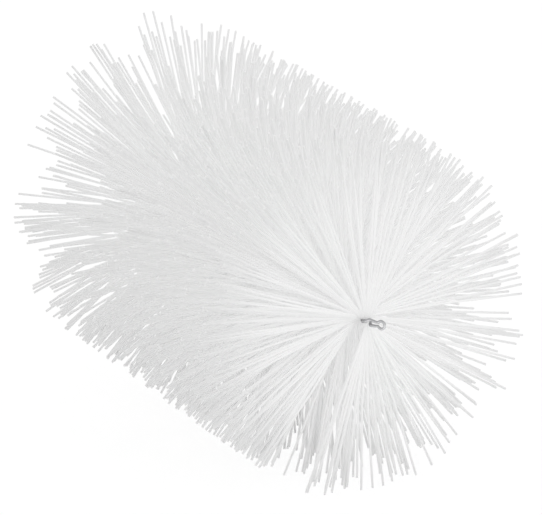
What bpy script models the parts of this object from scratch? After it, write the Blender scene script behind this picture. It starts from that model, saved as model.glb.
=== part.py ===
"""Tube brush: white filaments held in a twisted pair of stainless wires, and a threaded ferrule behind.

The brush lies along X on its bristles. The rear end face of the stud is at the origin, and the small eye
of the wire is at the front. All lengths are metres.
"""
import math
import random

import bmesh
import bpy
import numpy as np
from mathutils import Vector

# Fits
FIT_GAP = 0.0003                 # between pieces that touch
CUT_OVERRUN = 0.002              # how far every cutter reaches past what it cuts
WELD_DISTANCE = 0.00001          # points of one mesh nearer than this are one point

# Core wire: one wire bent in half, with both legs twisted together
WIRE_DIAMETER = 0.0009
BARE_STEM_LENGTH = 0.012         # from the ferrule's mouth to the first filaments
EYE_TAIL_LENGTH = 0.005          # from the last filaments to where the eye's bend starts
EYE_HALF_WIDTH = 0.00095         # middle of the wire to the middle of the eye
TWIST_EASE_POWER = 3             # how late in the tail the twist runs out
POINTS_PER_TURN = 9
BEND_STEPS = 6                   # round the eye
ROUNDING_STEPS = 1               # between the quarter points of the wire's section
NEIGHBOUR_SHARE = 0.95           # of the bend's length, within which stretches of wire are neighbours

# Bristles: filaments pinched at their middle, so that both ends stand out
BRUSH_DIAMETER = 0.103           # over the longest tips
TIP_UNEVENNESS = 0.003           # longest strand less the shortest
BRISTLED_LENGTH = 0.110          # from the rearmost pinched filament to the foremost
BRISTLED_TURNS = 10              # full turns of the pair over that length, left-handed
STRANDS_PER_TURN = 19            # on each of the ribbon's two edges
RIBBON_THICKNESS = 0.0003        # the filaments pressed flat between the legs
RIBBON_OVERHANG = 0.00015        # how far the ribbon stands out past the legs
STRAND_TIP_WIDTH = 0.0009
REST_CUT_DEPTH = 0.0005          # flat that the brush lies on
FRONT_ANGLE = math.radians(-114)   # where round the axis the front strand stands
REAR_LEAN = math.radians(23)     # the rear strands lie back, as nothing behind holds them up
REAR_FLARE_LENGTH = 0.032        # along the axis, over which that lean fades out
LOW_LEAN_SHARE = 0.3             # of that lean, left where the strands bear on the table
MOST_LEAN_ANGLE = math.radians(115)   # where round the axis they lie back most
LEAN_FADE_POWER = 2.5            # how fast the lean fades from there towards the low side
TURN_SCATTER = math.radians(4)   # how far a strand strays round the axis
LEAN_SCATTER = math.radians(1.2)
SCATTER_SEED = 11

# Threaded ferrule: a turned sleeve crimped on the tail of the wire
STUD_DIAMETER = 0.006
STUD_LENGTH = 0.012
STUD_CHAMFER = 0.0008
RELIEF_DEPTH = 0.0006            # of the groove where the thread runs out
RELIEF_WIDTH = 0.0009            # of the groove's floor, between its sloped sides
COLLAR_DIAMETER = 0.010
COLLAR_LENGTH = 0.004
COLLAR_CHAMFER = 0.0005
COLLAR_ACROSS_FLATS = 0.008
SLEEVE_DIAMETER = 0.007
SLEEVE_LENGTH = 0.018
SLEEVE_MOUTH_CHAMFER = 0.0008
SOCKET_DEPTH = 0.014
SOCKET_CHAMFER = 0.0004
CRIMP_ACROSS_FLATS = 0.0062
CRIMP_LENGTH = 0.0035
CRIMP_FROM_MOUTH = 0.003         # front edge of the first crimp
CRIMP_SPACING = 0.0055           # from one crimp to the next
CRIMP_COUNT = 2
TURNED_STEPS = 32

# Places worked out from the sizes above
BRUSH_RADIUS = BRUSH_DIAMETER / 2
TWIST_PITCH = BRISTLED_LENGTH / BRISTLED_TURNS
WIRE_RADIUS = WIRE_DIAMETER / 2
HELIX_RADIUS = WIRE_RADIUS + FIT_GAP + RIBBON_THICKNESS / 2
RIBBON_HALF_WIDTH = HELIX_RADIUS + WIRE_RADIUS + RIBBON_OVERHANG
SOCKET_RADIUS = HELIX_RADIUS + WIRE_RADIUS + FIT_GAP
SHOULDER_X = STUD_LENGTH
SLEEVE_X = SHOULDER_X + COLLAR_LENGTH
MOUTH_X = SLEEVE_X + SLEEVE_LENGTH
WIRE_END_X = MOUTH_X - SOCKET_DEPTH + FIT_GAP
BRISTLE_REAR_X = MOUTH_X + BARE_STEM_LENGTH
BRISTLE_FRONT_X = BRISTLE_REAR_X + BRISTLED_LENGTH
EYE_BEND_X = BRISTLE_FRONT_X + EYE_TAIL_LENGTH
FULL_TURN = 2 * math.pi
HALF_TURN = math.pi
QUARTER_TURN = math.pi / 2


def clear_scene():
    for obj in list(bpy.data.objects):
        bpy.data.objects.remove(obj, do_unlink=True)


def new_collection(name):
    collection = bpy.data.collections.new(name)
    bpy.context.scene.collection.children.link(collection)
    return collection


def make_material(name, colour, roughness, metallic):
    material = bpy.data.materials.new(name)
    material.use_nodes = True
    shader = material.node_tree.nodes["Principled BSDF"]
    shader.inputs["Base Color"].default_value = (*colour, 1.0)
    shader.inputs["Roughness"].default_value = roughness
    shader.inputs["Metallic"].default_value = metallic
    return material


def add_object(name, data, collection, material=None):
    obj = bpy.data.objects.new(name, data)
    collection.objects.link(obj)
    if material:
        data.materials.append(material)
    return obj


def ribbon_angle(x):
    """Angle round the axis of the filaments pinched at x. The twist runs out towards the eye."""
    if x <= BRISTLE_FRONT_X:
        return FRONT_ANGLE + FULL_TURN * (BRISTLE_FRONT_X - x) / TWIST_PITCH
    run = (x - BRISTLE_FRONT_X) / EYE_TAIL_LENGTH
    eased = run - run ** (TWIST_EASE_POWER + 1) / (TWIST_EASE_POWER + 1)
    return FRONT_ANGLE - FULL_TURN * EYE_TAIL_LENGTH / TWIST_PITCH * eased


def leg_points(side):
    """One leg of the wire from its cut end to the eye's bend. side is +1 or -1."""
    length = EYE_BEND_X - WIRE_END_X
    count = round(length / TWIST_PITCH * POINTS_PER_TURN)
    points = []
    for step in range(count + 1):
        x = WIRE_END_X + length * step / count
        opening = max(0.0, (x - BRISTLE_FRONT_X) / EYE_TAIL_LENGTH)
        radius = HELIX_RADIUS + (EYE_HALF_WIDTH - HELIX_RADIUS) * opening
        angle = ribbon_angle(x) + side * QUARTER_TURN
        points.append(Vector((x, radius * math.cos(angle), radius * math.sin(angle))))
    return points


def eye_points():
    """The bend at the front tip, between the ends of the two legs."""
    angle = ribbon_angle(EYE_BEND_X) + QUARTER_TURN
    across = Vector((0, math.cos(angle), math.sin(angle)))
    points = []
    for step in range(1, BEND_STEPS):
        turn = HALF_TURN * step / BEND_STEPS
        forward = Vector((EYE_BEND_X + EYE_HALF_WIDTH * math.sin(turn), 0, 0))
        points.append(forward + across * EYE_HALF_WIDTH * math.cos(turn))
    return points


def least_wire_gap(points):
    """Least clear distance between stretches of the wire that aren't neighbours along it."""
    places = np.array([tuple(point) for point in points])
    run = np.r_[0, np.cumsum(np.linalg.norm(np.diff(places, axis=0), axis=1))]
    apart = np.linalg.norm(places[:, None] - places[None], axis=2)
    along = np.abs(run[:, None] - run[None])
    bend_length = HALF_TURN * EYE_HALF_WIDTH
    return apart[along >= NEIGHBOUR_SHARE * bend_length].min() - WIRE_DIAMETER


def make_core_wire(collection, material):
    points = leg_points(1) + eye_points() + leg_points(-1)[::-1]
    print(f"core wire: least gap to itself {least_wire_gap(points) * 1000:.2f} mm")
    curve = bpy.data.curves.new("core_wire", "CURVE")
    curve.dimensions = "3D"
    curve.bevel_depth = WIRE_RADIUS
    curve.bevel_resolution = ROUNDING_STEPS
    curve.use_fill_caps = True
    spline = curve.splines.new("POLY")
    spline.points.add(len(points) - 1)
    for spline_point, point in zip(spline.points, points):
        spline_point.co = point.to_4d()
    return add_object("core_wire", curve, collection, material)


def strand_lean(x, angle):
    """How far a strand pinched at x leans back. The rear ones fan out, and most of all on the upper side."""
    rear = max(0.0, 1 - (x - BRISTLE_REAR_X) / REAR_FLARE_LENGTH)
    upper = max(0.0, math.cos(angle - MOST_LEAN_ANGLE)) ** LEAN_FADE_POWER
    return REAR_LEAN * rear * (LOW_LEAN_SHARE + (1 - LOW_LEAN_SHARE) * upper)


def make_ribbon_slice(mesh, rear_x, front_x, steps):
    """Sweeps the ribbon's section round the axis and along it, in a mesh of one closed body."""
    angle = ribbon_angle(rear_x)
    across = Vector((0, math.cos(angle), math.sin(angle))) * RIBBON_HALF_WIDTH
    through = Vector((0, -math.sin(angle), math.cos(angle))) * RIBBON_THICKNESS / 2
    centre = Vector((rear_x, 0, 0))
    signs = ((1, 1), (-1, 1), (-1, -1), (1, -1))
    corners = [mesh.verts.new(centre + a * across + b * through) for a, b in signs]
    section = mesh.faces.new(corners)
    bmesh.ops.spin(
        mesh, geom=[section], cent=(0, 0, 0), axis=(1, 0, 0), steps=steps,
        dvec=((front_x - rear_x) / steps, 0, 0), angle=ribbon_angle(front_x) - angle)
    bmesh.ops.recalc_face_normals(mesh, faces=mesh.faces)


def grow_strands(mesh, rear_x, step_length, scatter):
    """Draws every second face of the ribbon's two edges out into a strand."""
    roots = []
    for face in mesh.faces:
        centre = face.calc_center_median()
        on_edge = math.hypot(centre.y, centre.z) > RIBBON_HALF_WIDTH / 2
        if on_edge and int((centre.x - rear_x) / step_length) % 2 == 0:
            roots.append(face)
    roots.sort(key=lambda face: tuple(face.calc_center_median()))
    round_axis = FULL_TURN * RIBBON_HALF_WIDTH * step_length / TWIST_PITCH
    growth = STRAND_TIP_WIDTH / math.hypot(step_length, round_axis)
    for face in bmesh.ops.extrude_discrete_faces(mesh, faces=roots)["faces"]:
        root = face.calc_center_median()
        angle = math.atan2(root.z, root.y) + scatter.uniform(-TURN_SCATTER, TURN_SCATTER)
        lean = strand_lean(root.x, angle) + scatter.uniform(-LEAN_SCATTER, LEAN_SCATTER)
        # The tips are trimmed unevenly, but every strand that can reach the table bears on it.
        reach = BRUSH_RADIUS
        if math.sin(angle) * BRUSH_RADIUS > REST_CUT_DEPTH - BRUSH_RADIUS:
            reach -= scatter.uniform(0, TIP_UNEVENNESS)
        tip = Vector((root.x, 0, 0)) + Vector((-math.tan(lean), math.cos(angle), math.sin(angle))) * reach
        for vert in face.verts:
            vert.co = tip + (vert.co - root) * growth


def cut_rest_flat(mesh):
    """Trims the lowest tips level, where the brush lies on a table."""
    cut = bmesh.ops.bisect_plane(
        mesh, geom=[*mesh.verts, *mesh.edges, *mesh.faces], clear_outer=True,
        plane_co=(0, 0, REST_CUT_DEPTH - BRUSH_RADIUS), plane_no=(0, 0, -1))["geom_cut"]
    edges = [item for item in cut if isinstance(item, bmesh.types.BMEdge)]
    bmesh.ops.holes_fill(mesh, edges=edges)
    bmesh.ops.recalc_face_normals(mesh, faces=mesh.faces)


def make_bristle_band(index, collection, material):
    """One turn of the filament ribbon, with its strands."""
    rear_x = BRISTLE_REAR_X + index * TWIST_PITCH
    front_x = rear_x + TWIST_PITCH - FIT_GAP
    steps = 2 * STRANDS_PER_TURN
    mesh = bmesh.new()
    make_ribbon_slice(mesh, rear_x, front_x, steps)
    grow_strands(mesh, rear_x, (front_x - rear_x) / steps, random.Random(SCATTER_SEED + index))
    cut_rest_flat(mesh)
    name = f"bristle_band_{index + 1:02d}"
    data = bpy.data.meshes.new(name)
    mesh.to_mesh(data)
    mesh.free()
    return add_object(name, data, collection, material)


def ferrule_profile():
    """Half section as (radius, distance from the stud's end), up the socket and down the outside."""
    stud, collar, sleeve = STUD_DIAMETER / 2, COLLAR_DIAMETER / 2, SLEEVE_DIAMETER / 2
    relief = stud - RELIEF_DEPTH
    relief_x = SHOULDER_X - RELIEF_DEPTH - RELIEF_WIDTH
    floor = MOUTH_X - SOCKET_DEPTH
    return [
        (0, floor), (SOCKET_RADIUS, floor), (SOCKET_RADIUS, MOUTH_X - SOCKET_CHAMFER),
        (SOCKET_RADIUS + SOCKET_CHAMFER, MOUTH_X), (sleeve - SLEEVE_MOUTH_CHAMFER, MOUTH_X),
        (sleeve, MOUTH_X - SLEEVE_MOUTH_CHAMFER), (sleeve, SLEEVE_X),
        (collar - COLLAR_CHAMFER, SLEEVE_X), (collar, SLEEVE_X - COLLAR_CHAMFER),
        (collar, SHOULDER_X + COLLAR_CHAMFER), (collar - COLLAR_CHAMFER, SHOULDER_X),
        (stud, SHOULDER_X), (relief, SHOULDER_X - RELIEF_DEPTH), (relief, relief_x),
        (stud, relief_x - RELIEF_DEPTH), (stud, STUD_CHAMFER), (stud - STUD_CHAMFER, 0), (0, 0)]


def turn_profile(name, profile, collection, material=None):
    """Turns a half section round local Z, which then lies along X."""
    data = bpy.data.meshes.new(name)
    points = [(radius, 0, height) for radius, height in profile]
    data.from_pydata(points, [(i, i + 1) for i in range(len(points) - 1)], [])
    obj = add_object(name, data, collection, material)
    obj.rotation_euler = (0, QUARTER_TURN, 0)
    screw = obj.modifiers.new("turned", "SCREW")
    screw.steps = screw.render_steps = TURNED_STEPS
    screw.use_merge_vertices = True
    screw.merge_threshold = WELD_DISTANCE
    screw.use_smooth_shade = False
    return obj


def make_prism(name, sides, across_flats, rear_x, length, collection):
    """A prism along X between two flats or more, as a cutter or as the core of one."""
    mesh = bmesh.new()
    radius = across_flats / 2 / math.cos(math.pi / sides)
    bmesh.ops.create_cone(mesh, cap_ends=True, segments=sides, radius1=radius, radius2=radius, depth=length)
    data = bpy.data.meshes.new(name)
    mesh.to_mesh(data)
    mesh.free()
    obj = add_object(name, data, collection)
    obj.rotation_euler = (0, QUARTER_TURN, 0)
    obj.location = (rear_x + length / 2, 0, 0)
    return obj


def hide_cutter(obj):
    obj.display_type = "WIRE"
    obj.hide_render = True


def add_boolean(obj, cutter):
    boolean = obj.modifiers.new(cutter.name, "BOOLEAN")
    boolean.operation = "DIFFERENCE"
    boolean.solver = "EXACT"
    boolean.object = cutter
    weld = obj.modifiers.new(f"{cutter.name}_weld", "WELD")
    weld.merge_threshold = WELD_DISTANCE
    hide_cutter(cutter)


def make_crimp_cutter(index, cutters):
    """A ring with a hexagonal hole, which presses one crimp into the sleeve."""
    front_x = MOUTH_X - CRIMP_FROM_MOUTH - index * CRIMP_SPACING
    rear_x = front_x - CRIMP_LENGTH
    outer = SLEEVE_DIAMETER / 2 + CUT_OVERRUN
    profile = [(0, front_x), (outer, front_x), (outer, rear_x), (0, rear_x)]
    ring = turn_profile(f"crimp_cutter_{index + 1}", profile, cutters)
    core_x = rear_x - CUT_OVERRUN
    core_length = CRIMP_LENGTH + 2 * CUT_OVERRUN
    core = make_prism(f"crimp_core_{index + 1}", 6, CRIMP_ACROSS_FLATS, core_x, core_length, cutters)
    add_boolean(ring, core)
    return ring


def make_flat_cutter(side, cutters):
    """A block that cuts one of the collar's two spanner flats."""
    mesh = bmesh.new()
    bmesh.ops.create_cube(mesh, size=1)
    depth = COLLAR_DIAMETER / 2
    lengths = (COLLAR_LENGTH, COLLAR_DIAMETER + 2 * CUT_OVERRUN, depth)
    bmesh.ops.scale(mesh, vec=lengths, verts=mesh.verts)
    data = bpy.data.meshes.new("spanner_flat_cutter")
    mesh.to_mesh(data)
    mesh.free()
    obj = add_object(f"spanner_flat_cutter_{'upper' if side > 0 else 'lower'}", data, cutters)
    # The flat stops short of the shoulder, which keeps a full round seat for the handle.
    rear_x = SHOULDER_X + 2 * COLLAR_CHAMFER
    obj.location = (rear_x + COLLAR_LENGTH / 2, 0, side * (COLLAR_ACROSS_FLATS + depth) / 2)
    return obj


def make_ferrule(collection, cutters, material):
    ferrule = turn_profile("threaded_ferrule", ferrule_profile(), collection, material)
    for side in (1, -1):
        add_boolean(ferrule, make_flat_cutter(side, cutters))
    for index in range(CRIMP_COUNT):
        add_boolean(ferrule, make_crimp_cutter(index, cutters))
    return ferrule


def build_brush():
    clear_scene()
    parts = new_collection("tube_brush")
    cutters = new_collection("cutters")
    spring_steel = make_material("spring_steel", (0.55, 0.55, 0.57), 0.25, 1.0)
    turned_steel = make_material("turned_steel", (0.60, 0.60, 0.61), 0.30, 1.0)
    filament = make_material("white_filament", (0.88, 0.88, 0.87), 0.45, 0.0)
    make_core_wire(parts, spring_steel)
    make_ferrule(parts, cutters, turned_steel)
    for index in range(BRISTLED_TURNS):
        make_bristle_band(index, parts, filament)


build_brush()
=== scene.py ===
import math
import random

import bpy
import numpy as np
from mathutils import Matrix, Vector


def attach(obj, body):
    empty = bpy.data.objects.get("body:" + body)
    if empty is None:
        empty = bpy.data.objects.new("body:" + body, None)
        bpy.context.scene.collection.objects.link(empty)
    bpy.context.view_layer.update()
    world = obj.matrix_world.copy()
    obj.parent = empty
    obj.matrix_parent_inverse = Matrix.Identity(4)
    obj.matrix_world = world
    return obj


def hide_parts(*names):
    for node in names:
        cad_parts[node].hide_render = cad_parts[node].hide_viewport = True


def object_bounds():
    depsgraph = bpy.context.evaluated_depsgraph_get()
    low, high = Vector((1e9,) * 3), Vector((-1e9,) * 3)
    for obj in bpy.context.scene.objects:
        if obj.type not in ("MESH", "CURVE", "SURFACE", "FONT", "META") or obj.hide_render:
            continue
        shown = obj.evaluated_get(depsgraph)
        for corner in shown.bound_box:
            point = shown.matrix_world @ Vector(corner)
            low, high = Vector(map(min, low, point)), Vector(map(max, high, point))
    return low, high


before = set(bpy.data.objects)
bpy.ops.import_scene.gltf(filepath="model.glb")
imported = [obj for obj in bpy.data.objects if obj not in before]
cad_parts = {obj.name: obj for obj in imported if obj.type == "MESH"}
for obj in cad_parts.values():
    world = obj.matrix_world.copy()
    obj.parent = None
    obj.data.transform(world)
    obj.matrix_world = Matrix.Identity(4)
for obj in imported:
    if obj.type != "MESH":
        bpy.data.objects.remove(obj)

cad_box = [list(corner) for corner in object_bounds()]


# Core wire. One stainless spring wire, bent in half round a pin, which leaves the small eye at the front.
# Its two legs are twisted left-handed over the filaments and pinch them, and their cut ends sit in the
# ferrule's socket.
WIRE_RADIUS = 0.0004
LEG_OFFSET = 0.0009              # middle of a leg to the brush's axis
WIRE_END_X = 0.0203
REAR_PINCH_X = 0.046             # rearmost and foremost filament
FRONT_PINCH_X = 0.1548
THROAT_X = 0.1578                # where the eye closes
THROAT_OFFSET = 0.0005
EYE_RADIUS = 0.0011
EYE_STEPS = 20
WIRE_BEND = Vector((0, -0.0007, -0.0005))   # its last stretch has been bent a little
WIRE_BEND_LENGTH = 0.045
WIRE_BEND_POWER = 2              # how late in that stretch it bends
TAIL_TURN = math.radians(60)     # last twist, past the foremost filament, before the legs run side by side
TAIL_TURN_LENGTH = 0.0007
TAIL_BEND = Vector((0, 0.0014, 0))
TAIL_BEND_POWER = 1.3
TURNS = 10
PITCH = (FRONT_PINCH_X - REAR_PINCH_X) / TURNS
FRONT_ANGLE = math.radians(-122)   # where round the wire the foremost filament stands
LEG_POINTS_PER_TURN = 30
BEVEL_STEPS = 4                  # in each quarter of the wire's section
WELD_DISTANCE = 0.000001         # points of one mesh nearer than this are one point
CAP_ANGLE = math.radians(50)     # sharper edges than this aren't shaded smooth
DARK_STEEL, BRIGHT_STEEL = (0.34, 0.34, 0.35), (0.5, 0.5, 0.51)
STEEL_BUMP = 0.00002             # height of the marks on both steels
WIRE_PATCHES, WIRE_GRAIN = 900.0, 6000.0   # to the metre


def ease(share):
    share = min(1.0, max(0.0, share))
    return share * share * (3 - 2 * share)


def pinch_angle(x):
    """Where round the wire the filaments pinched at x stand."""
    if x <= FRONT_PINCH_X:
        return FRONT_ANGLE + math.tau * (FRONT_PINCH_X - x) / PITCH
    return FRONT_ANGLE - TAIL_TURN * ease((x - FRONT_PINCH_X) / TAIL_TURN_LENGTH)


def radial(angle):
    return Vector((0, math.cos(angle), math.sin(angle)))


def tail_share(x):
    """How far along the bare tail x is, from the foremost filament to the throat."""
    return max(0.0, (x - FRONT_PINCH_X) / (THROAT_X - FRONT_PINCH_X))


def wire_middle(x):
    """Between the two legs: the brush's axis, and how far the wire is bent away from it."""
    bent = min(1.0, max(0.0, 1 - (FRONT_PINCH_X - x) / WIRE_BEND_LENGTH))
    axis_point = Vector((x, 0, 0))
    return axis_point + WIRE_BEND * bent ** WIRE_BEND_POWER + TAIL_BEND * tail_share(x) ** TAIL_BEND_POWER


def leg_route(side):
    """Middle line of one leg, from its cut end to the eye's throat."""
    count = round((THROAT_X - WIRE_END_X) / PITCH * LEG_POINTS_PER_TURN)
    route = []
    for step in range(count + 1):
        x = WIRE_END_X + (THROAT_X - WIRE_END_X) * step / count
        offset = LEG_OFFSET + (THROAT_OFFSET - LEG_OFFSET) * tail_share(x)
        route.append(wire_middle(x) + radial(pinch_angle(x) + side * math.pi / 2) * offset)
    return route


def eye_route():
    """Nearly a full ring, from one leg at the throat to the other."""
    throat = wire_middle(THROAT_X)
    across = radial(pinch_angle(THROAT_X) + math.pi / 2) * EYE_RADIUS
    ahead = (throat - wire_middle(THROAT_X - EYE_RADIUS)).normalized() * EYE_RADIUS
    start = math.acos(THROAT_OFFSET / EYE_RADIUS)
    middle = throat + ahead * math.sin(start)
    turns = [-start + (math.pi + 2 * start) * step / EYE_STEPS for step in range(1, EYE_STEPS)]
    return [middle + ahead * math.sin(t) + across * math.cos(t) for t in turns]


def take_up(piece):
    bpy.ops.object.select_all(action="DESELECT")
    piece.select_set(True)
    bpy.context.view_layer.objects.active = piece


def tube_along(name, route, radius):
    """A smooth round tube along the route, with closed ends."""
    curve = bpy.data.curves.new(name, "CURVE")
    curve.dimensions = "3D"
    curve.bevel_depth = radius
    curve.bevel_resolution = BEVEL_STEPS
    curve.use_fill_caps = True
    spline = curve.splines.new("POLY")
    spline.points.add(len(route) - 1)
    for spline_point, point in zip(spline.points, route):
        spline_point.co = point.to_4d()
    piece = bpy.data.objects.new(name, curve)
    bpy.context.scene.collection.objects.link(piece)
    take_up(piece)
    bpy.ops.object.convert(target="MESH")
    bpy.ops.object.mode_set(mode="EDIT")
    bpy.ops.mesh.select_all(action="SELECT")
    bpy.ops.mesh.remove_doubles(threshold=WELD_DISTANCE)
    bpy.ops.object.mode_set(mode="OBJECT")
    bpy.ops.object.shade_smooth_by_angle(angle=CAP_ANGLE)
    return piece


class Socket:
    """An output socket of a shader node, so that shader maths reads as an expression."""

    def __init__(self, tree, output):
        self.tree, self.output = tree, output

    def node(self, kind, settings=(), **values):
        """Any node. Its settings are set first, then the values or links of its inputs; i0 is input 0."""
        made = self.tree.nodes.new(kind)
        for key, value in dict(settings).items():
            setattr(made, key, value)
        for key, value in values.items():
            spot = made.inputs[int(key[1:])] if key[1:].isdigit() else made.inputs[key.replace("_", " ")]
            if isinstance(value, Socket):
                self.tree.links.new(value.output, spot)
            else:
                spot.default_value = value
        return made

    def out(self, made, name=0):
        return Socket(self.tree, made.outputs[name])

    def noise(self, dimensions="3D", **values):
        """Noise from 0 to 1: of a Vector, or of a W when it has one dimension."""
        return self.out(self.node("ShaderNodeTexNoise", {"noise_dimensions": dimensions}, **values))

    def maths(self, operation, *values):
        inputs = {f"i{k}": value for k, value in enumerate(values)}
        return self.out(self.node("ShaderNodeMath", {"operation": operation}, **inputs))

    def __add__(self, other):
        return self.maths("ADD", self, other)

    __radd__ = __add__

    def __sub__(self, other):
        return self.maths("SUBTRACT", self, other)

    def __rsub__(self, other):
        return self.maths("SUBTRACT", other, self)

    def __mul__(self, other):
        return self.maths("MULTIPLY", self, other)

    __rmul__ = __mul__

    def __pow__(self, other):
        return self.maths("POWER", self, other)

    def __abs__(self):
        return self.maths("ABSOLUTE", self)


def new_finish(name, **constants):
    """A material with its Principled shader, and a socket to start its maths from."""
    material = bpy.data.materials.new(name)
    material.use_nodes = True
    shader = material.node_tree.nodes["Principled BSDF"]
    for key, value in constants.items():
        shader.inputs[key.replace("_", " ")].default_value = value
    return material, shader, Socket(material.node_tree, None)


def feed(shader, name, socket):
    socket.tree.links.new(socket.output, shader.inputs[name])


def colour_mix(socket, factor, first, second):
    made = socket.node("ShaderNodeMix", {"data_type": "RGBA"}, Factor=factor, i6=(*first, 1), i7=(*second, 1))
    return socket.out(made, 2)


def roughen(shader, height, distance, strength):
    """Bump, from a height that runs from 0 to 1."""
    made = height.node("ShaderNodeBump", Height=height, Distance=distance, Strength=strength)
    feed(shader, "Normal", height.out(made))


def drawn_steel():
    """Drawn wire: darker and brighter stretches along it, with a fine grain."""
    material, shader, start = new_finish("drawn_spring_steel", Metallic=1.0)
    place = start.out(start.node("ShaderNodeTexCoord"), "Object")
    patches = start.noise(Vector=place, Scale=WIRE_PATCHES, Detail=3.0)
    grain = start.noise(Vector=place, Scale=WIRE_GRAIN, Detail=2.0)
    feed(shader, "Base Color", colour_mix(start, patches, DARK_STEEL, BRIGHT_STEEL))
    feed(shader, "Roughness", 0.24 + 0.14 * grain)
    roughen(shader, grain, STEEL_BUMP, 0.2)
    return material


core_wire = tube_along("core_wire_drawn", leg_route(1) + eye_route() + leg_route(-1)[::-1], WIRE_RADIUS)
core_wire.data.materials.append(drawn_steel())
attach(core_wire, "root")
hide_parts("core_wire")


# Threaded ferrule. A turned steel sleeve, pressed on the wire's tail by two hexagonal crimps. Behind it are a
# collar with two spanner flats and an M6 stud, which screws into a rod or a handle.
MOUTH_X = 0.034                  # front end of the sleeve
SLEEVE_X = 0.016
SHOULDER_X = 0.012
SLEEVE_RADIUS = 0.0035
COLLAR_RADIUS = 0.005
COLLAR_ACROSS_FLATS = 0.008
COLLAR_CHAMFER = 0.0005
FLATS_X = 0.013                  # rear end of the spanner flats
MOUTH_CHAMFER = 0.0008
SOCKET_RADIUS = 0.00165
SOCKET_DEPTH = 0.014
SOCKET_CHAMFER = 0.0004
CRIMP_ACROSS_FLATS = 0.0062
CRIMP_LENGTH = 0.0035
CRIMP_FRONTS = (0.031, 0.0255)
STUD_RADIUS = 0.003
STUD_CHAMFER = 0.0008
THREAD_PITCH = 0.001
THREAD_DEPTH = 0.000613
CREST_WIDTH = THREAD_PITCH / 8
FLANK_ANGLE = math.radians(30)
FLANK_RUN = THREAD_DEPTH * math.tan(FLANK_ANGLE)
THREAD_SINK = 0.0001             # of the ridge into the stud's core
RELIEF_DEPTH = 0.0006            # of the groove between the thread and the shoulder
RELIEF_WIDTH = 0.0009
THREAD_STEPS = 48                # round the axis
TURNED_STEPS = 72
OVERRUN = 0.002                  # of a cutting tool past what it cuts
EDGE_ROUNDING = 0.0001
ROUNDED_ANGLE = math.radians(25)   # sharper edges than this are rounded
FLAT_ANGLE = math.radians(20)      # sharper edges than this aren't shaded smooth
FERRULE_RINGS, FERRULE_PATCHES = 9000, 350.0   # to the metre


def turned(name, profile, steps=TURNED_STEPS, **helix):
    """Turns a half section, whose points are (x, radius), round the X axis, or winds it into a helix."""
    mesh = bpy.data.meshes.new(name)
    closing = [(len(profile) - 1, 0)] if helix else []
    edges = [(k, k + 1) for k in range(len(profile) - 1)] + closing
    mesh.from_pydata([(x, radius, 0) for x, radius in profile], edges, [])
    piece = bpy.data.objects.new(name, mesh)
    bpy.context.scene.collection.objects.link(piece)
    screw = piece.modifiers.new("turning", "SCREW")
    screw.axis = "X"
    screw.steps = screw.render_steps = steps
    for key, value in helix.items():
        setattr(screw, key, value)
    take_up(piece)
    bpy.ops.object.modifier_apply(modifier=screw.name)
    bpy.ops.object.mode_set(mode="EDIT")
    bpy.ops.mesh.select_all(action="SELECT")
    bpy.ops.mesh.remove_doubles(threshold=WELD_DISTANCE)
    if helix:
        bpy.ops.mesh.select_all(action="DESELECT")
        bpy.ops.mesh.select_mode(type="EDGE")
        bpy.ops.mesh.select_non_manifold()
        bpy.ops.mesh.fill()
        bpy.ops.mesh.select_all(action="SELECT")
    bpy.ops.mesh.normals_make_consistent()
    bpy.ops.object.mode_set(mode="OBJECT")
    return piece


def cut(piece, tool, operation="DIFFERENCE"):
    """Cuts the piece with the tool, which is then put away."""
    boolean = piece.modifiers.new("cut", "BOOLEAN")
    boolean.operation = operation
    boolean.solver = "EXACT"
    boolean.object = tool
    take_up(piece)
    bpy.ops.object.modifier_apply(modifier=boolean.name)
    bpy.data.objects.remove(tool)


def flat_tool(side):
    """The block that mills one spanner flat."""
    bpy.ops.object.select_all(action="DESELECT")
    width = 2 * (COLLAR_RADIUS + OVERRUN)
    depth = COLLAR_RADIUS
    length = SLEEVE_X + OVERRUN - FLATS_X
    place = (FLATS_X + length / 2, 0, side * (COLLAR_ACROSS_FLATS + depth) / 2)
    bpy.ops.mesh.primitive_cube_add(size=1, location=place, scale=(length, width, depth))
    return bpy.context.object


def crimp_tool(front_x):
    """The jaws that press one crimp: a ring with a hexagonal hole."""
    rear_x = front_x - CRIMP_LENGTH
    outside = SLEEVE_RADIUS + OVERRUN
    jaws = turned("crimp_jaws", [(front_x, 0), (front_x, outside), (rear_x, outside), (rear_x, 0)])
    bpy.ops.object.select_all(action="DESELECT")
    bpy.ops.mesh.primitive_cylinder_add(
        vertices=6, radius=CRIMP_ACROSS_FLATS / 2 / math.cos(math.pi / 6), depth=CRIMP_LENGTH + 2 * OVERRUN,
        location=((front_x + rear_x) / 2, 0, 0), rotation=(0, math.pi / 2, 0))
    cut(jaws, bpy.context.object)
    return jaws


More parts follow.
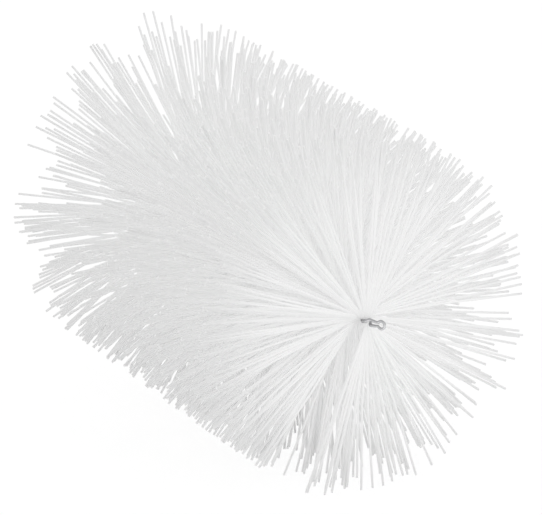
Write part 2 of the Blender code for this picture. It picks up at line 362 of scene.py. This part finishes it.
def sleeve_and_collar():
    core = STUD_RADIUS - THREAD_DEPTH
    floor = MOUTH_X - SOCKET_DEPTH
    body = turned("threaded_ferrule_drawn", [
        (floor, 0), (floor, SOCKET_RADIUS), (MOUTH_X - SOCKET_CHAMFER, SOCKET_RADIUS),
        (MOUTH_X, SOCKET_RADIUS + SOCKET_CHAMFER), (MOUTH_X, SLEEVE_RADIUS - MOUTH_CHAMFER),
        (MOUTH_X - MOUTH_CHAMFER, SLEEVE_RADIUS), (SLEEVE_X, SLEEVE_RADIUS),
        (SLEEVE_X, COLLAR_RADIUS - COLLAR_CHAMFER), (SLEEVE_X - COLLAR_CHAMFER, COLLAR_RADIUS),
        (SHOULDER_X + COLLAR_CHAMFER, COLLAR_RADIUS), (SHOULDER_X, COLLAR_RADIUS - COLLAR_CHAMFER),
        (SHOULDER_X, STUD_RADIUS), (SHOULDER_X - THREAD_DEPTH, core), (STUD_CHAMFER - THREAD_DEPTH, core),
        (0, STUD_RADIUS - STUD_CHAMFER), (0, 0)])
    rounding = body.modifiers.new("rounded_edges", "BEVEL")
    rounding.width = EDGE_ROUNDING
    rounding.segments = 2
    rounding.limit_method = "ANGLE"
    rounding.angle_limit = ROUNDED_ANGLE
    take_up(body)
    bpy.ops.object.modifier_apply(modifier=rounding.name)
    for side in (1, -1):
        cut(body, flat_tool(side))
    for front_x in CRIMP_FRONTS:
        cut(body, crimp_tool(front_x))
    return body


def thread_ridge():
    """The thread's tooth, wound on the stud and trimmed to the stud's chamfered end and to the groove."""
    core = STUD_RADIUS - THREAD_DEPTH
    base = CREST_WIDTH / 2 + FLANK_RUN
    groove_x = SHOULDER_X - RELIEF_DEPTH - RELIEF_WIDTH
    start = -2 * THREAD_PITCH
    tooth = [(-base, core - THREAD_SINK), (-base, core), (-CREST_WIDTH / 2, STUD_RADIUS),
             (CREST_WIDTH / 2, STUD_RADIUS), (base, core), (base, core - THREAD_SINK)]
    ridge = turned("thread", [(start + x, radius) for x, radius in tooth], steps=THREAD_STEPS,
                   screw_offset=THREAD_PITCH, iterations=round((groove_x - start) / THREAD_PITCH) + 1)
    outside = STUD_RADIUS + THREAD_SINK
    blank = turned("stud_blank", [
        (0, 0), (0, STUD_RADIUS - STUD_CHAMFER), (STUD_CHAMFER + THREAD_SINK, outside),
        (groove_x - RELIEF_DEPTH - THREAD_SINK, outside), (groove_x, STUD_RADIUS - RELIEF_DEPTH),
        (groove_x, 0)])
    cut(ridge, blank, "INTERSECT")
    return ridge


def turned_steel():
    """Turned steel: fine rings that the tool left, and duller patches from handling."""
    material, shader, start = new_finish("bright_turned_steel", Metallic=1.0)
    place = start.out(start.node("ShaderNodeTexCoord"), "Object")
    parts = start.node("ShaderNodeSeparateXYZ", Vector=place)
    along, across, up = start.out(parts, 0), start.out(parts, 1), start.out(parts, 2)
    from_axis = (across ** 2.0 + up ** 2.0) ** 0.5
    rings = start.noise("1D", W=FERRULE_RINGS * (along + from_axis), Scale=1.0)
    patches = start.noise(Vector=place, Scale=FERRULE_PATCHES, Detail=4.0)
    feed(shader, "Base Color", colour_mix(start, 0.7 * patches + 0.3 * rings, DARK_STEEL, BRIGHT_STEEL))
    feed(shader, "Roughness", 0.2 + 0.12 * rings + 0.16 * patches)
    roughen(shader, rings, STEEL_BUMP, 0.25)
    return material


ferrule = sleeve_and_collar()
ridge = thread_ridge()
take_up(ferrule)
ridge.select_set(True)
bpy.ops.object.join()
bpy.ops.object.shade_smooth_by_angle(angle=FLAT_ANGLE)
ferrule.data.materials.append(turned_steel())
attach(ferrule, "root")
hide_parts("threaded_ferrule")


# Filaments. Straight white polyester filaments, pinched at their middle by the twisted legs, so that both
# ends of each stand out and the brush becomes a screw of bristles. They are laid in by the bunch, and
# trimmed to the brush's diameter. One piece for each turn of the wire.
FILAMENT_RADIUS = 0.00032
FILAMENTS_PER_TURN = 115
BUNCHES_PER_TURN = 34            # on each side of the wire
TIP_RADIUS = 0.0509              # they are trimmed to a cylinder
TIP_SHORTFALL = 0.0042           # of the shortest filaments
PINCH_HALF_WIDTH = 0.0013        # from the axis to where a filament leaves the wire
PINCH_SPREAD = 0.00022           # across the pinched layer
REST_Z = cad_box[0][2]
REAR_LEAN = math.radians(27)     # at the top; less lower down
MOST_LEAN_ANGLE = math.radians(100)   # where round the wire they lean back most
LOW_LEAN_SHARE = 0.55            # of that, on the far side
REAR_FLARE = 0.032               # length of the stretch that leans back
FRONT_LEAN = math.radians(1.6)
FRONT_FLARE = 0.025              # and of the one that leans forward
BUNCH_PLACE = (0.2, 0.8)         # of a bunch's own stretch of wire, where its middle may be
BUNCH_TURN = math.radians(2.2)   # how far a bunch strays round the axis, and along it
BUNCH_LEAN = math.radians(1.6)
LEAST_PULL, MOST_PULL = 0.1, 0.7   # how far its tips draw together
STRAY_TURN = math.radians(1.0)   # how far one filament strays from its bunch
STRAY_LEAN = math.radians(1.3)
REAR_LOOSENESS = 1.2             # the rear filaments stray this much more
FRONT_LOOSENESS = 0.1            # and the foremost only this much, as they end the last turn cleanly
FRONT_EASE = PITCH / 4           # over this stretch they grow as loose as the rest
LAST_SHEET = PITCH / 4           # length of the foremost sheet of filaments
PARTING_LENGTH = 0.75 * PITCH    # it and the one behind it part below the eye
PARTING_LEFT = math.radians(-133)
PARTING_RIGHT = math.radians(-95)
FRONT_PARTING_RIGHT = math.radians(-113)
BOW = 0.0004                     # of any filament end
LEAN_BOW = 0.12                  # share of its length, for each radian that it leans
BUNCH_SEED, MAP_SEED = 2500, 200
END_STEPS = 2                    # straight steps that a bowed end is made of
SIDES = 12
RINGS = 2 * (END_STEPS + 1)
SHADE_STEPS = 60                 # up the map, so that hardly two filaments share a shade
DRAW_LINES = 90.0
DRAW_MARK = 0.000004             # height of the marks that drawing the filament left
MAP_MARGIN = 0.03                # round the strips in which the filaments are mapped
STRIP_HEIGHT = 0.03
CUT_FACE_RADIUS = 0.006          # of a cut face on the map


def rear_share(x):
    return max(0.0, 1 - (x - REAR_PINCH_X) / REAR_FLARE)


def lean_at(x, angle):
    """The end turns have nothing beyond them to lean on, so they fan out, the rear ones most at the top."""
    upper = max(0.0, math.cos(angle - MOST_LEAN_ANGLE)) ** 2
    forward = FRONT_LEAN * max(0.0, 1 - (FRONT_PINCH_X - x) / FRONT_FLARE)
    return forward - REAR_LEAN * (LOW_LEAN_SHARE + (1 - LOW_LEAN_SHARE) * upper) * rear_share(x)


def looseness(x):
    return (1 + REAR_LOOSENESS * rear_share(x)) * min(1, FRONT_LOOSENESS + (FRONT_PINCH_X - x) / FRONT_EASE)


def parted(x, angle):
    """Below the eye the foremost filaments stand to either side of a gap, wider behind the last sheet."""
    right = FRONT_PARTING_RIGHT if x > FRONT_PINCH_X - LAST_SHEET else PARTING_RIGHT
    half = (right - PARTING_LEFT) / 2
    off = (angle - PARTING_LEFT - half + math.pi) % math.tau - math.pi
    if x < FRONT_PINCH_X - PARTING_LENGTH or abs(off) > half:
        return angle
    return angle - off + math.copysign(half, off)


class Bunch:
    """Filament ends that were laid in together and lean towards one another."""

    def __init__(self, x, angle, chance):
        self.x, self.angle = x, angle
        loose = looseness(x)
        self.turn = chance.gauss(0, BUNCH_TURN * loose)
        self.lean = chance.gauss(0, BUNCH_LEAN * loose)
        self.pull = chance.uniform(LEAST_PULL, MOST_PULL)


def filament_end(x, angle, bunch, chance):
    """Points of one end, from the edge of the wire to the tip."""
    spread = (bunch.angle - angle + math.pi) % math.tau - math.pi
    turned = parted(x, angle + bunch.turn + spread * bunch.pull) + chance.gauss(0, STRAY_TURN)
    fan = lean_at(x, angle)
    lean = fan + bunch.lean + chance.gauss(0, STRAY_LEAN)
    length = (TIP_RADIUS - TIP_SHORTFALL * chance.random() ** 2) / math.cos(lean)
    root = wire_middle(x) + radial(angle) * PINCH_HALF_WIDTH
    root += radial(angle + math.pi / 2) * chance.uniform(-PINCH_SPREAD, PINCH_SPREAD)
    way = radial(turned) * math.cos(lean) + Vector((math.sin(lean), 0, 0))
    tip = Vector((x + (bunch.x - x) * bunch.pull, 0, 0)) + way * length
    if tip.z < REST_Z + FILAMENT_RADIUS:
        share = (REST_Z + FILAMENT_RADIUS - root.z) / (tip.z - root.z)
        tip = root + (tip - root) * share
    bow = Vector((chance.gauss(0, BOW) + LEAN_BOW * fan * length, 0, 0))
    bow += radial(turned + math.pi / 2) * chance.gauss(0, BOW)
    shares = [step / END_STEPS for step in range(END_STEPS + 1)]
    return [root.lerp(tip, s) - bow * 4 * s * (1 - s) for s in shares]


def band_routes(index):
    """The filaments of one turn, each from tip to tip through the pinch."""
    chance = random.Random(BUNCH_SEED + index)
    rear = REAR_PINCH_X + index * PITCH
    bunches = []
    for side in (0, 1):
        for k in range(BUNCHES_PER_TURN):
            x = rear + PITCH * (k + chance.uniform(*BUNCH_PLACE)) / BUNCHES_PER_TURN
            bunches.append((side, Bunch(x, pinch_angle(x) + side * math.pi, chance)))
    routes = []
    for k in range(FILAMENTS_PER_TURN):
        x = rear + PITCH * (k + chance.random()) / FILAMENTS_PER_TURN
        ends = []
        for side in (0, 1):
            near = min((b for s, b in bunches if s == side), key=lambda bunch: abs(bunch.x - x))
            ends.append(filament_end(x, pinch_angle(x) + side * math.pi, near, chance))
        routes.append(ends[0][::-1] + ends[1])
    return routes


def straight_filament():
    """One filament as it comes off the spool: rings of corners, one unit apart, with a cut face at each end.
    Its map runs from tip to tip, and folds back round the section, so that it has no seam."""
    bpy.ops.object.select_all(action="DESELECT")
    bpy.ops.mesh.primitive_circle_add(vertices=SIDES, radius=FILAMENT_RADIUS, fill_type="NGON")
    filament = bpy.context.object
    bpy.ops.object.mode_set(mode="EDIT")
    for _ in range(RINGS - 1):
        bpy.ops.mesh.extrude_region_move(TRANSFORM_OT_translate={"value": (0, 0, 1)})
    bpy.ops.mesh.select_all(action="SELECT")
    bpy.ops.mesh.normals_make_consistent()
    bpy.ops.object.mode_set(mode="OBJECT")
    mesh = filament.data
    corners = np.array([vertex.co for vertex in mesh.vertices])
    faces = sorted(list(face.vertices) for face in mesh.polygons)   # extruding gives them in no fixed order
    strip = []
    for face in faces:
        for corner in face:
            x, y, ring = corners[corner]
            turn = math.atan2(y, x)
            along = MAP_MARGIN + (1 - 2 * MAP_MARGIN) * ring / (RINGS - 1)
            height = STRIP_HEIGHT * abs(turn / math.pi)
            if len(face) == SIDES:
                along += CUT_FACE_RADIUS * math.cos(turn)
                height = STRIP_HEIGHT / 2 + CUT_FACE_RADIUS * math.sin(turn)
            strip.append([along, height])
    bpy.data.objects.remove(filament)
    return corners, faces, np.array(strip)


def bent_filaments(name, routes, chance):
    """Copies the straight filament along every route, in one mesh."""
    middles = np.array(routes, dtype=float)
    ahead = np.gradient(middles, axis=1)
    ahead /= np.linalg.norm(ahead, axis=2, keepdims=True)
    across = np.array((1.0, 0, 0)) - ahead * ahead[:, :, :1]
    across /= np.linalg.norm(across, axis=2, keepdims=True)
    through = np.cross(ahead, across)
    corners, faces, strip = FILAMENT
    ring = np.round(corners[:, 2]).astype(int)
    places = middles[:, ring] + corners[:, :1] * across[:, ring] + corners[:, 1:2] * through[:, ring]
    count = len(corners)
    mesh = bpy.data.meshes.new(name)
    all_faces = [[corner + k * count for corner in face] for k in range(len(routes)) for face in faces]
    mesh.from_pydata(places.reshape(-1, 3).tolist(), [], all_faces)
    mesh.polygons.foreach_set("use_smooth", [len(face) == 4 for face in all_faces])
    heights = [MAP_MARGIN + (1 - 2 * MAP_MARGIN - STRIP_HEIGHT) * chance.random() for _ in routes]
    layout = np.concatenate([strip + (0, height) for height in heights])
    mesh.uv_layers.new(name="OFBake").uv.foreach_set("vector", layout.ravel().astype(np.float32))
    piece = bpy.data.objects.new(name, mesh)
    bpy.context.scene.collection.objects.link(piece)
    return piece


def white_polyester():
    """White filament, a little darker towards the wire as painted shade, whitest at the tips, where no two
    are quite the same, with faint marks.
    """
    material, shader, start = new_finish("white_polyester", Specular_IOR_Level=0.0)
    place = start.out(start.node("ShaderNodeUVMap", {"uv_map": "OFBake"}))
    parts = start.node("ShaderNodeSeparateXYZ", Vector=place)
    along, height = start.out(parts, 0), start.out(parts, 1)
    towards_tip = abs(2 * along - 1)
    strips = start.noise("1D", W=SHADE_STEPS * height, Scale=1.0)
    # Painted shade: the whiteness drops by a hundredth towards the wire, to dim the crowded middle round it;
    # the drop that differs from filament to filament at the tips is their own tone.
    shade = 0.99 + (0.01 - 0.004 * strips) * towards_tip
    whites_with_painted_shade = start.node("ShaderNodeVectorMath", {"operation": "SCALE"}, Scale=shade, i0=(1.0, 1.0, 1.0))
    feed(shader, "Base Color", start.out(whites_with_painted_shade))
    draw_lines = start.noise("2D", Vector=place, Scale=DRAW_LINES)
    feed(shader, "Roughness", 0.36 + 0.12 * draw_lines)
    roughen(shader, draw_lines, DRAW_MARK, 0.1)
    return material


FILAMENT = straight_filament()
polyester = white_polyester()
for index in range(TURNS):
    band = bent_filaments(f"filaments_{index + 1:02d}", band_routes(index), random.Random(MAP_SEED + index))
    band.data.materials.append(polyester)
    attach(band, "root")
    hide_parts(f"bristle_band_{index + 1:02d}")


# Floor and light. A white table under a wide soft sky, with one large soft lamp in front, above and to
# the right. The camera sees the table and the sky as white.
TABLE_RADIUS = 6
TABLE_CORNERS = 96
TABLE_GAP = 0.00005              # between the table and the lowest tips
TABLE_COLOUR = (0.98, 0.98, 0.98)
SEEN_TABLE_COLOUR = (0.12, 0.12, 0.12)   # for the camera, which sees the glow added to it
TABLE_GLOW = 0.88
SKY_STRENGTH = 0.82              # as a light; the camera and reflections see 1
LAMP_SIZE = 2.5
LAMP_POWER = 10
LAMP_DISTANCE = 3.2
LAMP_WAY = Vector((0.75, 0.35, 0.9)).normalized()
OVER_BRUSH = Vector((0.1, 0, 0))
BOUNCES = 160                    # light goes a long way in among white filaments


def white_table():
    material, shader, start = new_finish("white_table", Roughness=0.9)
    rays = start.node("ShaderNodeLightPath")
    seen = start.out(rays, "Is Camera Ray")
    glossy = start.out(rays, "Is Glossy Ray")
    feed(shader, "Base Color", colour_mix(start, seen, TABLE_COLOUR, SEEN_TABLE_COLOUR))
    feed(shader, "Emission Strength", TABLE_GLOW * seen.maths("MAXIMUM", seen, glossy))
    shader.inputs["Emission Color"].default_value = (1, 1, 1, 1)
    return material


bpy.ops.object.select_all(action="DESELECT")
bpy.ops.mesh.primitive_circle_add(vertices=TABLE_CORNERS, radius=TABLE_RADIUS, fill_type="NGON",
                                  location=OVER_BRUSH + Vector((0, 0, REST_Z - TABLE_GAP)))
table = bpy.context.object
table.name = "table_top"
table.data.materials.append(white_table())

world = bpy.data.worlds.new("studio")
bpy.context.scene.world = world
world.use_nodes = True
sky = world.node_tree.nodes["Background"]
sky.inputs["Color"].default_value = (1, 1, 1, 1)
light_path = Socket(world.node_tree, None).node("ShaderNodeLightPath")
seen_sky = Socket(world.node_tree, light_path.outputs["Is Camera Ray"])
glossy_sky = Socket(world.node_tree, light_path.outputs["Is Glossy Ray"])
feed(sky, "Strength", SKY_STRENGTH + (1 - SKY_STRENGTH) * seen_sky.maths("MAXIMUM", seen_sky, glossy_sky))

lamp_data = bpy.data.lights.new("soft_box", "AREA")
lamp_data.shape = "DISK"
lamp_data.size = LAMP_SIZE
lamp_data.energy = LAMP_POWER
lamp = bpy.data.objects.new("soft_box", lamp_data)
bpy.context.scene.collection.objects.link(lamp)
lamp.location = OVER_BRUSH + LAMP_WAY * LAMP_DISTANCE
lamp.rotation_euler = LAMP_WAY.to_track_quat("Z", "Y").to_euler()


# Camera. It looks at the front end from above, at the photograph's angle, from a little over a metre away.
# Its frame is shifted so that the brush stands where the photograph has it.
PHOTO_WIDTH, PHOTO_HEIGHT = 542, 515
AZIMUTH, ELEVATION = math.radians(61.5), math.radians(20.4)
DISTANCE = 1.3
FOCAL_PIXELS = 4600              # focal length, in pixels of the photograph
MIDDLE = Vector(((REAR_PINCH_X + FRONT_PINCH_X) / 2, 0, 0))
MIDDLE_SEEN = (275.4, 258.7)     # where in the photograph the middle of the brush is
SENSOR_WIDTH = 36

camera_data = bpy.data.cameras.new("camera")
camera_data.sensor_width = SENSOR_WIDTH
camera_data.lens = FOCAL_PIXELS / PHOTO_WIDTH * SENSOR_WIDTH
camera_data.shift_x = (PHOTO_WIDTH / 2 - MIDDLE_SEEN[0]) / PHOTO_WIDTH
camera_data.shift_y = (MIDDLE_SEEN[1] - PHOTO_HEIGHT / 2) / PHOTO_WIDTH
camera = bpy.data.objects.new("camera", camera_data)
bpy.context.scene.collection.objects.link(camera)
back = Vector((math.sin(AZIMUTH) * math.cos(ELEVATION), -math.cos(AZIMUTH) * math.cos(ELEVATION),
               math.sin(ELEVATION)))
camera.location = MIDDLE + back * DISTANCE
camera.rotation_euler = back.to_track_quat("Z", "Y").to_euler()
camera_data.clip_end = 50
bpy.context.scene.camera = camera
bpy.context.scene.view_settings.view_transform = "Standard"
bpy.context.scene.cycles.max_bounces = BOUNCES
bpy.context.scene.cycles.diffuse_bounces = BOUNCES
bpy.context.scene.cycles.glossy_bounces = BOUNCES
